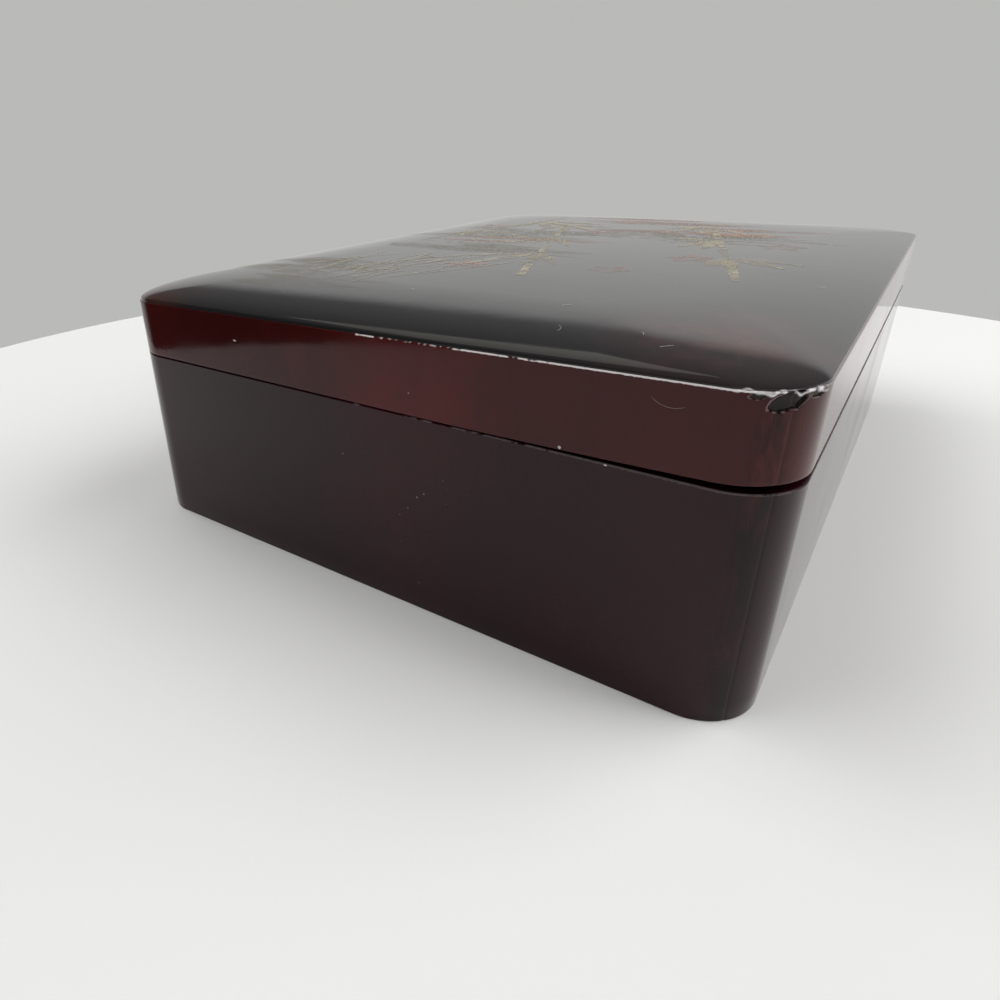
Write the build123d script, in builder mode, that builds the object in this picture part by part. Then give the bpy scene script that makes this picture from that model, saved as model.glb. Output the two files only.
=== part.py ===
from build123d import *
from math import cos, radians, sin
import os

os.makedirs("parts", exist_ok=True)

# A lacquered wooden game case: four drawers in one long side, an open compartment above them,
# and a shallow crowned lid that lifts off over an inner lip.
# Millimetres, +Z up. X runs along the short sides and Y along the long ones.
# The origin is the middle of the underside, and the drawers open towards -X.

# Plan of the case
case_width = 300.0
case_length = 384.0
wall_thickness = 12.0
corner_radius = 22.0

# Heights, from the underside up
base_board_thickness = 8.0
bay_height = 28.0
dust_board_thickness = 6.0
floor_thickness = 6.0
compartment_depth = 8.0
rim_height = 26.5
crown_rise = 9.5

# Lid
crown_inset = 56.0
crown_corner_growth = 0.35
crown_sections = 14
lid_wall_thickness = 11.5
lid_tongue_depth = 4.5
seam_gap = 0.3
warp_start = 15.0
warp_rise = 2.6
seam_arris = 0.5

# Lip that the lid fits over
lip_thickness = 4.0
lip_rise = 6.5
lip_corner_radius = 2.0
lip_bevel = 1.0

# Frame of the drawer side, and what guides the drawers
stile_width = 26.0
partition_thickness = 12.0
housing_depth = 3.0
guide_height = 10.0
stop_length = 18.0
stop_width = 24.0
stop_height = 8.0

# Drawers
running_clearance = 0.3
drawer_side_clearance = 1.0
drawer_front_gap = 0.8
drawer_front_thickness = 12.0
drawer_front_rebate = 5.0
drawer_front_arris = 0.8
drawer_side_thickness = 6.0
drawer_side_height = 24.0
drawer_bottom_raise = 2.0
drawer_bottom_thickness = 3.0
drawer_groove_depth = 2.0
lining_thickness = 1.0
lining_clearance = 0.4

# Brass knob, a turned piece with a short shank in a blind hole
knob_head_radius = 7.5
knob_head_flare = 2.5
knob_head_rim = 1.9
knob_head_bevel = 2.6
knob_tip_radius = 5.0
knob_neck_radius = 3.2
knob_neck_length = 4.5
knob_rosette_radius = 9.5
knob_rosette_thickness = 1.4
knob_shank_radius = 2.5
knob_shank_length = 8.0
knob_shank_clearance = 0.05
knob_hole_spare = 0.5

# Counter compartment
divider_thickness = 5.0
divider_height = 12.0
long_divider_x = 35.0
cross_divider_count = 2

# Lets a cutting shape pass right through what it cuts
cut_margin = 1.0

# Places worked out from the sizes above
outer_x = case_width / 2
outer_y = case_length / 2
inner_x = outer_x - wall_thickness
inner_y = outer_y - wall_thickness
lower_bay_low = base_board_thickness
dust_low = lower_bay_low + bay_height
upper_bay_low = dust_low + dust_board_thickness
floor_low = upper_bay_low + bay_height
floor_top = floor_low + floor_thickness
seam_height = floor_top + compartment_depth
rim_low = seam_height + seam_gap
ridge_height = seam_height + rim_height
rail_reach = outer_y - stile_width
bay_width = rail_reach - partition_thickness / 2
bay_centre = partition_thickness / 2 + bay_width / 2


def write(part, name):
    part.label = name
    export_step(part, f"parts/{name}.step")


def mitred_plan(width, length, radius, wall, side):
    """One side of a rounded rectangular frame, seen from above, with its ends cut at 45 degrees."""
    half_width = width / 2
    half_length = length / 2
    reach = wall + radius
    corners = {
        "front": [(-half_width, -half_length), (half_width, -half_length)],
        "right": [(half_width, -half_length), (half_width, half_length)],
        "back": [(half_width, half_length), (-half_width, half_length)],
        "left": [(-half_width, half_length), (-half_width, -half_length)],
    }
    (start_x, start_y), (end_x, end_y) = corners[side]

    def inwards(x, y):
        return (x - reach if x > 0 else x + reach, y - reach if y > 0 else y + reach)

    with BuildSketch() as plan:
        RectangleRounded(width, length, radius)
        Rectangle(width - 2 * wall, length - 2 * wall, mode=Mode.SUBTRACT)
        with BuildLine():
            Polyline(
                (start_x, start_y),
                (end_x, end_y),
                inwards(end_x, end_y),
                inwards(start_x, start_y),
                close=True,
            )
        make_face(mode=Mode.INTERSECT)
    return plan.sketch


def soften_outer_top_edge(builder, outward, size):
    """A bevel along the outer top edge, and on round the corners that run smoothly into it."""
    outer_top_edge = builder.edges().group_by(Axis.Z)[-1].sort_by(outward)[-1]
    chamfer(outer_top_edge, size)


def upright(plan, low, high):
    """A plan raised from one height to another."""
    with BuildPart() as piece:
        with BuildSketch(Plane.XY.offset(low)):
            add(plan)
        extrude(amount=high - low)
    return piece.part


def board(x_low, x_high, y_low, y_high, z_low, z_high):
    """A plain board between six planes."""
    with BuildPart() as piece:
        with BuildSketch(Plane.XY.offset(z_low)):
            with Locations(((x_low + x_high) / 2, (y_low + y_high) / 2)):
                Rectangle(x_high - x_low, y_high - y_low)
        extrude(amount=z_high - z_low)
    return piece.part


# Boards that run across the case and are let into its walls

with BuildPart() as base_board:
    with BuildSketch():
        Rectangle(2 * (inner_x + housing_depth), 2 * (inner_y + housing_depth))
    extrude(amount=base_board_thickness)
write(base_board.part, "base_board")

with BuildPart() as compartment_floor:
    with BuildSketch(Plane.XY.offset(floor_low)):
        Rectangle(2 * (inner_x + housing_depth), 2 * (inner_y + housing_depth))
    extrude(amount=floor_thickness)
write(compartment_floor.part, "compartment_floor")

partition_face = partition_thickness / 2
dust_inner_edge = partition_face - housing_depth
dust_outer_edge = inner_y + housing_depth
dust_right_edge = inner_x + housing_depth
dust_high = upper_bay_low
near_dust_board = board(
    -inner_x, dust_right_edge, -dust_outer_edge, -dust_inner_edge, dust_low, dust_high
)
far_dust_board = board(
    -inner_x, dust_right_edge, dust_inner_edge, dust_outer_edge, dust_low, dust_high
)
write(near_dust_board, "near_dust_board")
write(far_dust_board, "far_dust_board")

with BuildPart() as centre_partition:
    add(board(-inner_x, inner_x, -partition_face, partition_face, lower_bay_low, floor_low))
    add(near_dust_board, mode=Mode.SUBTRACT)
    add(far_dust_board, mode=Mode.SUBTRACT)
write(centre_partition.part, "centre_partition")

housed_boards = [base_board.part, compartment_floor.part, near_dust_board, far_dust_board]

# Case walls, mitred at the corners, with housings for the boards

outward_axis = {"front": -Axis.Y, "back": Axis.Y, "right": Axis.X, "left": -Axis.X}
for side in ("front", "back", "right"):
    with BuildPart() as case_wall:
        plan = mitred_plan(case_width, case_length, corner_radius, wall_thickness, side)
        add(upright(plan, 0, seam_height))
        soften_outer_top_edge(case_wall, outward_axis[side], seam_arris)
        for housed in housed_boards:
            add(housed, mode=Mode.SUBTRACT)
    write(case_wall.part, f"case_{side}_wall")

# Drawer side: a frame of stiles and rails in the same thickness as the walls

drawer_side_plan = mitred_plan(case_width, case_length, corner_radius, wall_thickness, "left")
for end, direction in (("front", -1), ("back", 1)):
    with BuildPart() as end_stile:
        with BuildSketch():
            add(drawer_side_plan)
            with Locations((-outer_x, direction * outer_y)):
                Rectangle(2 * wall_thickness, 2 * stile_width, mode=Mode.INTERSECT)
        extrude(amount=seam_height)
        soften_outer_top_edge(end_stile, outward_axis["left"], seam_arris)
        for housed in housed_boards:
            add(housed, mode=Mode.SUBTRACT)
    write(end_stile.part, f"drawer_side_{end}_stile")

with BuildPart() as bottom_rail:
    add(board(-outer_x, -inner_x, -rail_reach, rail_reach, 0, base_board_thickness))
    add(base_board.part, mode=Mode.SUBTRACT)
write(bottom_rail.part, "drawer_side_bottom_rail")

with BuildPart() as top_rail:
    add(board(-outer_x, -inner_x, -rail_reach, rail_reach, floor_low, seam_height))
    soften_outer_top_edge(top_rail, outward_axis["left"], seam_arris)
    add(compartment_floor.part, mode=Mode.SUBTRACT)
write(top_rail.part, "drawer_side_top_rail")

# The middle rail and the centre stile cross in a halving joint, with the rail in front
halving_x = -outer_x + wall_thickness / 2
with BuildPart() as middle_rail:
    add(board(-outer_x, -inner_x, -rail_reach, rail_reach, dust_low, upper_bay_low))
    add(
        board(halving_x, -inner_x, -partition_face, partition_face, dust_low, upper_bay_low),
        mode=Mode.SUBTRACT,
    )
write(middle_rail.part, "drawer_side_middle_rail")

with BuildPart() as centre_stile:
    add(board(-outer_x, -inner_x, -partition_face, partition_face, lower_bay_low, floor_low))
    add(middle_rail.part, mode=Mode.SUBTRACT)
write(centre_stile.part, "drawer_side_centre_stile")

# Guides beside the outer drawer sides, and a stop behind each drawer

for level, bay_low in (("lower", lower_bay_low), ("upper", upper_bay_low)):
    guide_top = bay_low + guide_height
    write(board(-inner_x, inner_x, -inner_y, -rail_reach, bay_low, guide_top), f"{level}_near_guide")
    write(board(-inner_x, inner_x, rail_reach, inner_y, bay_low, guide_top), f"{level}_far_guide")

with BuildPart() as drawer_stops:
    for bay_low in (lower_bay_low, upper_bay_low):
        with BuildSketch(Plane.XY.offset(bay_low)):
            with Locations(
                (inner_x - stop_length / 2, -bay_centre), (inner_x - stop_length / 2, bay_centre)
            ):
                Rectangle(stop_length, stop_width)
        extrude(amount=stop_height)
write(drawer_stops.part, "drawer_stops")

# Lip strips round the inside of the compartment, bevelled along the top outer edge

lip_top = seam_height + lip_rise
for side, outward in outward_axis.items():
    plan = mitred_plan(2 * inner_x, 2 * inner_y, lip_corner_radius, lip_thickness, side)
    with BuildPart() as lip:
        add(upright(plan, floor_top, lip_top))
        soften_outer_top_edge(lip, outward, lip_bevel)
    write(lip.part, f"{side}_lip")

# Counter compartment: one long divider, and cross dividers on the wider side of it

lip_inner_x = inner_x - lip_thickness
lip_inner_y = inner_y - lip_thickness
divider_face = long_divider_x - divider_thickness / 2
divider_top = floor_top + divider_height
write(
    board(
        divider_face,
        divider_face + divider_thickness,
        -lip_inner_y,
        lip_inner_y,
        floor_top,
        divider_top,
    ),
    "counter_long_divider",
)
cross_pitch = 2 * lip_inner_y / (cross_divider_count + 1)
for index in range(cross_divider_count):
    middle_y = -lip_inner_y + (index + 1) * cross_pitch
    cross_divider = board(
        -lip_inner_x,
        divider_face,
        middle_y - divider_thickness / 2,
        middle_y + divider_thickness / 2,
        floor_top,
        divider_top,
    )
    write(cross_divider, f"counter_cross_divider_{index + 1}")

# Lid: the crowned top is lofted through contours that follow a quarter ellipse

lid_inner_width = case_width - 2 * lid_wall_thickness
lid_inner_length = case_length - 2 * lid_wall_thickness
with BuildPart() as lid_top_panel:
    for index in range(crown_sections):
        angle = radians(90 * index / (crown_sections - 1))
        inset = crown_inset * (1 - cos(angle))
        with BuildSketch(Plane.XY.offset(ridge_height + crown_rise * sin(angle))):
            RectangleRounded(
                case_width - 2 * inset,
                case_length - 2 * inset,
                corner_radius + crown_corner_growth * inset,
            )
    loft(ruled=True)
    with BuildSketch(Plane.XY.offset(ridge_height - lid_tongue_depth)):
        Rectangle(lid_inner_width, lid_inner_length)
    extrude(amount=lid_tongue_depth)
write(lid_top_panel.part, "lid_top_panel")

# The lid has warped: its rim lifts in a long shallow arc towards the side away from the drawers
with BuildPart() as warp_gap:
    with BuildSketch(Plane.XZ):
        with BuildLine():
            lift = TangentArc((warp_start, rim_low), (outer_x, rim_low + warp_rise), tangent=(1, 0))
            Polyline(
                lift @ 1,
                (outer_x + cut_margin, rim_low + warp_rise),
                (outer_x + cut_margin, rim_low - cut_margin),
                (warp_start, rim_low - cut_margin),
                lift @ 0,
            )
        make_face()
    extrude(amount=outer_y + cut_margin, both=True)

for side in ("front", "back", "right", "left"):
    with BuildPart() as lid_wall:
        plan = mitred_plan(case_width, case_length, corner_radius, lid_wall_thickness, side)
        add(upright(plan, rim_low, ridge_height))
        if side != "left":
            add(warp_gap.part, mode=Mode.SUBTRACT)
    write(lid_wall.part, f"lid_{side}_wall")

# One drawer, built in a bay whose floor is at z = 0 and whose middle is at y = 0

front_face_x = -outer_x
front_back_x = front_face_x + drawer_front_thickness
side_start_x = front_back_x - drawer_front_rebate
drawer_end_x = inner_x - stop_length - running_clearance
box_half_width = bay_width / 2 - drawer_side_clearance
box_inner_half = box_half_width - drawer_side_thickness
box_low = running_clearance
box_top = box_low + drawer_side_height
bottom_low = box_low + drawer_bottom_raise
bottom_top = bottom_low + drawer_bottom_thickness

drawer_bottom = board(
    front_back_x - drawer_groove_depth,
    drawer_end_x,
    -box_inner_half - drawer_groove_depth,
    box_inner_half + drawer_groove_depth,
    bottom_low,
    bottom_top,
)

with BuildPart() as drawer_left_side:
    add(board(side_start_x, drawer_end_x, box_inner_half, box_half_width, box_low, box_top))
    add(drawer_bottom, mode=Mode.SUBTRACT)

with BuildPart() as drawer_right_side:
    add(board(side_start_x, drawer_end_x, -box_half_width, -box_inner_half, box_low, box_top))
    add(drawer_bottom, mode=Mode.SUBTRACT)

drawer_back_x = drawer_end_x - drawer_side_thickness
drawer_back = board(drawer_back_x, drawer_end_x, -box_inner_half, box_inner_half, bottom_top, box_top)

front_half_width = bay_width / 2 - drawer_front_gap
knob_height = bay_height / 2
with BuildPart() as drawer_front:
    add(
        board(
            front_face_x,
            front_back_x,
            -front_half_width,
            front_half_width,
            drawer_front_gap,
            bay_height - drawer_front_gap,
        )
    )
    fillet(drawer_front.edges().group_by(Axis.X)[0], drawer_front_arris)
    add(drawer_bottom, mode=Mode.SUBTRACT)
    add(drawer_left_side.part, mode=Mode.SUBTRACT)
    add(drawer_right_side.part, mode=Mode.SUBTRACT)
    with Locations(Plane(origin=(front_face_x, 0, knob_height), z_dir=(-1, 0, 0))):
        Hole(knob_shank_radius + knob_shank_clearance, depth=knob_shank_length + knob_hole_spare)

lining_half_width = box_inner_half - lining_clearance
drawer_lining = board(
    front_back_x + lining_clearance,
    drawer_back_x - lining_clearance,
    -lining_half_width,
    lining_half_width,
    bottom_top,
    bottom_top + lining_thickness,
)

rosette_face_x = front_face_x - knob_rosette_thickness
head_back_x = rosette_face_x - knob_neck_length
head_rim_x = head_back_x - knob_head_flare
head_shoulder_x = head_rim_x - knob_head_rim
head_tip_x = head_shoulder_x - knob_head_bevel
with BuildPart() as drawer_knob:
    with BuildSketch(Plane.XY):
        with BuildLine():
            turning = Polyline(
                (front_face_x + knob_shank_length, 0),
                (front_face_x + knob_shank_length, knob_shank_radius),
                (front_face_x, knob_shank_radius),
                (front_face_x, knob_rosette_radius),
                (rosette_face_x, knob_rosette_radius),
                (rosette_face_x, knob_neck_radius),
                (head_back_x, knob_neck_radius),
                (head_rim_x, knob_head_radius),
                (head_shoulder_x, knob_head_radius),
                (head_tip_x, knob_tip_radius),
                (head_tip_x, 0),
            )
            Line(turning @ 1, turning @ 0)
        make_face()
    revolve(axis=Axis.X)
    drawer_knob.part = drawer_knob.part.moved(Location((0, 0, knob_height)))

drawer_pieces = {
    "front": drawer_front.part,
    "left_side": drawer_left_side.part,
    "right_side": drawer_right_side.part,
    "back": drawer_back,
    "bottom": drawer_bottom,
    "lining": drawer_lining,
    "knob": drawer_knob.part,
}
for level, bay_low in (("lower", lower_bay_low), ("upper", upper_bay_low)):
    for end, direction in (("near", -1), ("far", 1)):
        bay = Location((0, direction * bay_centre, bay_low))
        for piece_name, piece in drawer_pieces.items():
            write(piece.moved(bay), f"{level}_{end}_drawer_{piece_name}")
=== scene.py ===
"""Looks of a lacquered wooden game case: deep red sides, a black crowned lid with a faded painting,
and drawers with turned brass knobs in one long side.

Lengths are metres, in the frame of the solid model, unless a comment says millimetres."""

import random
from math import cos, hypot, pi, radians, sin, sqrt

import bmesh
import bpy
from bpy.props import FloatProperty, FloatVectorProperty, IntProperty, PointerProperty
from mathutils import Matrix, Vector, noise


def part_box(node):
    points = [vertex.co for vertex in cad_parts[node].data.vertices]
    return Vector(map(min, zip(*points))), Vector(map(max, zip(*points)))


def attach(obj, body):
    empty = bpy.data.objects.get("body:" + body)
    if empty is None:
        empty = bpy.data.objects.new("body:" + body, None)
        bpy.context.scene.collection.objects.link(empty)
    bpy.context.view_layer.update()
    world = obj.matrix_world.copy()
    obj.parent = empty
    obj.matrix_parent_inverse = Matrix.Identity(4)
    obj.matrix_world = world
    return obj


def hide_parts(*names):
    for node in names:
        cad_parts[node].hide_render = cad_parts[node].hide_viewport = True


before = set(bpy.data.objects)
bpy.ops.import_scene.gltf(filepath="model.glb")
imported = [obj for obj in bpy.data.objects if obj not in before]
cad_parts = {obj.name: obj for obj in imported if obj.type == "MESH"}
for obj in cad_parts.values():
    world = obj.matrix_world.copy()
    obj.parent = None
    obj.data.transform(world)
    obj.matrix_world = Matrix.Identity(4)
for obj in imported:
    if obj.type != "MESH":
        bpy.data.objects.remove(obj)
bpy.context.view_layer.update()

bl_info = {
    "name": "Lacquered Game Case",
    "version": (1, 0),
    "blender": (4, 5, 0),
    "location": "3D View > Sidebar > Game Case",
    "description": "Dresses a lacquered game case with a lift-off lid and drawers",
    "category": "Add Mesh",
}

MM = 0.001
DRAWERS = [f"{level}_{end}_drawer" for level in ("lower", "upper") for end in ("near", "far")]


def node_box(name):
    """Lowest and highest corner of a node of the solid model, as vectors."""
    low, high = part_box(name)
    return Vector(low), Vector(high)


# Places read from the solid model
OUTER_X = node_box("lid_top_panel")[1].x
OUTER_Y = node_box("lid_top_panel")[1].y
CASE_WALL = OUTER_X - node_box("case_right_wall")[0].x
LID_WALL = OUTER_X - node_box("lid_right_wall")[0].x
SEAM_HEIGHT = node_box("case_front_wall")[1].z
RIM_LOW = node_box("lid_left_wall")[0].z
TONGUE_LOW = node_box("lid_top_panel")[0].z
RIDGE_HEIGHT = node_box("lid_left_wall")[1].z
CROWN_TOP = node_box("lid_top_panel")[1].z
WARPED_RIM_LOW = node_box("lid_right_wall")[0].z
STILE_END = -node_box("drawer_side_front_stile")[1].y


# ---------------------------------------------------------------- sizes and colours to change


def length_property(name, description, millimetres):
    return FloatProperty(name=name, description=description, default=millimetres * MM, unit="LENGTH")


def count_property(name, description, default):
    return IntProperty(name=name, description=description, default=default)


def colour_property(name, description, *default):
    return FloatVectorProperty(name=name, description=description, subtype="COLOR", default=default)


class CaseSizes(bpy.types.PropertyGroup):
    corner_radius: length_property("Corner radius", "Radius of the upright corners", 22)
    arris: length_property("Arris", "Rounding along the seam and the underside", 0.4)
    ridge_arris: length_property("Ridge arris", "Rounding where the lid's sides meet its top", 0.5)
    mitre_line: length_property("Mitre line", "Depth of the hairline at a mitred corner", 0.12)
    crown_inset: length_property("Crown inset", "Where the crown levels off", 56)
    crown_growth: FloatProperty(
        name="Crown corner growth", description="How much rounder each contour gets inwards", default=0.35
    )
    crown_rings: count_property("Crown rings", "Contours up the crown", 44)
    corner_steps: count_property("Corner steps", "Faces round a corner", 40)
    chipped_corner_steps: count_property("Chipped corner steps", "Faces round the chipped corner", 160)
    run_steps: count_property("Run steps", "Faces along a straight side", 26)
    warp_start: length_property("Warp start", "Where the rim starts to lift", 15)
    ridge_lift: length_property("Ridge lift", "How much higher the warped ridge is on the right", 3.7)
    ridge_drop: length_property("Ridge drop", "How much lower the warped ridge is on the left", 1.6)
    knob_radius: length_property("Knob radius", "Radius of a knob's head", 7.5)


class CaseColours(bpy.types.PropertyGroup):
    red_lacquer: colour_property("Red lacquer", "Sides of the lid", 0.060, 0.0065, 0.006)
    dark_lacquer: colour_property("Dark lacquer", "Sides of the case", 0.021, 0.003, 0.006)
    black_lacquer: colour_property("Black lacquer", "Top of the lid", 0.016, 0.015, 0.016)
    bare_wood: colour_property("Bare wood", "Inside boards and drawers", 0.32, 0.17, 0.085)
    felt: colour_property("Felt", "Drawer linings", 0.022, 0.085, 0.05)
    brass: colour_property("Brass", "Knobs", 0.62, 0.41, 0.16)
    old_gold: colour_property("Old gold", "Faded gold paint", 0.46, 0.41, 0.31)
    dusty_pink: colour_property("Dusty pink", "Faded pink paint", 0.46, 0.31, 0.25)


# ---------------------------------------------------------------- shader maths


class Socket:
    """A shader socket whose numbers add, subtract, multiply and divide as Math nodes."""

    def __init__(self, tree, link):
        self.tree = tree
        self.link = link

    def node(self, kind, settings=(), out=0, **inputs):
        """Any node: its type, its settings, and the values or links of its sockets by name."""
        made = self.tree.nodes.new(kind)
        for name, value in dict(settings).items():
            if name == "stops":
                ramp = made.color_ramp
                while len(ramp.elements) > 1:
                    ramp.elements.remove(ramp.elements[-1])
                ramp.elements[0].position, ramp.elements[0].color = value[0]
                for place, colour in value[1:]:
                    ramp.elements.new(place).color = colour
            else:
                setattr(made, name, value)
        for name, value in inputs.items():
            key = int(name[1:]) if name[0] == "_" else name.replace("_", " ")
            if isinstance(value, Socket):
                self.tree.links.new(value.link, made.inputs[key])
            else:
                made.inputs[key].default_value = value
        return Socket(self.tree, made.outputs[out])

    def maths(self, operation, first, second=0.0):
        return self.node("ShaderNodeMath", {"operation": operation}, _0=first, _1=second)

    def __add__(self, other):
        return self.maths("ADD", self, other)

    def __sub__(self, other):
        return self.maths("SUBTRACT", self, other)

    def __rsub__(self, other):
        return self.maths("SUBTRACT", other, self)

    def __mul__(self, other):
        return self.maths("MULTIPLY", self, other)

    __radd__ = __add__
    __rmul__ = __mul__

    def above(self, low, high):
        """0 below low, 1 above high, and smooth between."""
        settings = {"interpolation_type": "SMOOTHSTEP"}
        return self.node("ShaderNodeMapRange", settings, Value=self, From_Min=low, From_Max=high)

    def magnitude(self):
        return self.maths("ABSOLUTE", self)

    def most(self, other):
        return self.maths("MAXIMUM", self, other)

    def blend(self, other, amount):
        """This colour mixed towards another one."""
        settings = {"data_type": "RGBA", "blend_type": "MIX"}
        return self.node("ShaderNodeMix", settings, out=2, _0=amount, _6=self, _7=other)


class Finish:
    """A material with its Principled shader, and short ways to the patterns that finishes are made of."""

    def __init__(self, name):
        self.material = bpy.data.materials.new(name)
        self.material.use_nodes = True
        self.tree = self.material.node_tree
        self.shader = self.tree.nodes["Principled BSDF"]
        self.start = Socket(self.tree, None)
        self.place = self.start.node("ShaderNodeTexCoord", out=3)

    def colour(self, rgb):
        """A plain colour as a socket, so that it can be mixed."""
        node = self.tree.nodes.new("ShaderNodeRGB")
        node.outputs[0].default_value = (*rgb, 1)
        return Socket(self.tree, node.outputs[0])

    def along(self, axis):
        """The X, Y or Z place on the piece, in metres."""
        return self.start.node("ShaderNodeSeparateXYZ", out="XYZ".index(axis), Vector=self.place)

    def attribute(self, name):
        """A number that the piece's points carry."""
        return self.start.node("ShaderNodeAttribute", {"attribute_name": name}, out=2)

    def scaled(self, x, y, z):
        """The place, stretched, for patterns that run one way."""
        return self.start.node("ShaderNodeMapping", Vector=self.place, Scale=(x, y, z))

    def cloud(self, scale, detail=4.0, place=None, distortion=0.0, roughness=0.5):
        """Soft noise from 0 to 1."""
        return self.start.node(
            "ShaderNodeTexNoise",
            Vector=place or self.place,
            Scale=scale,
            Detail=detail,
            Roughness=roughness,
            Distortion=distortion,
        )

    def cells(self, scale):
        """Distance to the nearest of a scatter of points."""
        return self.start.node("ShaderNodeTexVoronoi", Vector=self.place, Scale=scale)

    def distance_from(self, point):
        """Distance to one point, in metres."""
        settings = {"operation": "DISTANCE"}
        return self.start.node("ShaderNodeVectorMath", settings, out=1, _0=self.place, _1=point)

    def set(self, **inputs):
        """Sockets of the shader, with links where a value changes over the surface."""
        for name, value in inputs.items():
            socket = self.shader.inputs[name.replace("_", " ")]
            if isinstance(value, Socket):
                self.tree.links.new(value.link, socket)
            else:
                socket.default_value = value

    def bump(self, height, depth):
        """The shader's normal pushed about by a height pattern, with its depth in metres."""
        return self.start.node("ShaderNodeBump", Height=height, Distance=depth, Strength=1.0)


def scratches(finish, scale, angle, width, share):
    """Thin hairlines that run roughly one way across the top, and only in patches: 1 on a line."""
    stretch = (scale, scale * 0.025, scale * 0.02)
    turned = finish.start.node(
        "ShaderNodeMapping", Vector=finish.place, Rotation=(0, 0, angle), Scale=stretch
    )
    line = (finish.cloud(1.0, 1.0, turned, 0.1) - 0.5).magnitude()
    patches = finish.cloud(23.0, 2.0).above(1 - share, 1.05 - share)
    return (1 - line.above(width * 0.4, width)) * patches


def dust(finish, scale, size, share):
    """Small pale specks, a few to a patch: 1 in the middle of a speck."""
    speck = 1 - finish.cells(scale).above(size * 0.5, size)
    return speck * finish.cloud(19.0, 2.0).above(1 - share, 1.1 - share)


# ---------------------------------------------------------------- finishes

# Refractive index of the lacquer, and its colours where it is worn, torn or broken; the sides' pale wear
# colour also paints a highlight along their top edges
SIDE_DENSITY, TOP_DENSITY = 1.34, 1.38
SIDE_WEAR_AND_HIGHLIGHT = (0.80, 0.75, 0.75)
TOP_WEAR = (0.60, 0.57, 0.53)
TORN_LACQUER = (0.80, 0.77, 0.78)
BROKEN_WOOD = (0.012, 0.007, 0.007)

# Pale specks and nicks on the front, and one painted highlight that stands for a small dent on the lid (the
# second row): place across and up, half width and half height, in millimetres
FRONT_SPECKS_AND_HIGHLIGHTS = [
    (81.5, 85.9, 0.6, 0.6),
    (-70.0, 99.6, 1.1, 0.4),
    (97.0, 83.6, 0.6, 0.3),
    (22.0, 93.0, 0.25, 0.2),
    (-12.0, 61.0, 0.25, 0.2),
]

# A curved scratch on the lid's front, as part of a circle, and the middle of a stain on its top
SCRATCH_CENTRE = (0.1140, -OUTER_Y, 0.1142)
SCRATCH_RADIUS = 0.0085
STAIN_PLACE = (0.116, -0.156, 0.117)


def lacquer(finish, body, wear, haze, density, broken=None, lines=None):
    """Old lacquer with specks, faint orange peel, hazy patches, hairlines and broken places."""
    hazy = finish.cloud(14.0, 5.0, roughness=0.6).above(0.42, 0.72)
    specks = dust(finish, 260.0, 0.10, 0.36)
    height = finish.cloud(60.0, 3.0) * 0.5
    roughness = 0.06 + hazy * haze + specks * 0.3
    if lines:
        body = body.blend(wear, lines * 0.04)
        roughness = roughness + lines * 0.04
    if broken:
        height = height + finish.cloud(300.0, 3.0) * broken * 2.0
        roughness = roughness + broken * 0.06
    finish.set(
        Base_Color=body.blend(wear, specks * 0.4),
        Roughness=roughness,
        IOR=density,
        Normal=finish.bump(height, 0.00008),
    )


def broken_places(finish, body):
    """Dark bare wood where the ridge is chipped, with the torn edge of the lacquer bright round it."""
    broken = finish.attribute("chipped").above(0.25, 0.6)
    torn = finish.attribute("torn")
    body = body.blend(finish.colour(BROKEN_WOOD), broken)
    return body.blend(finish.colour(TORN_LACQUER), torn), broken


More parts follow.
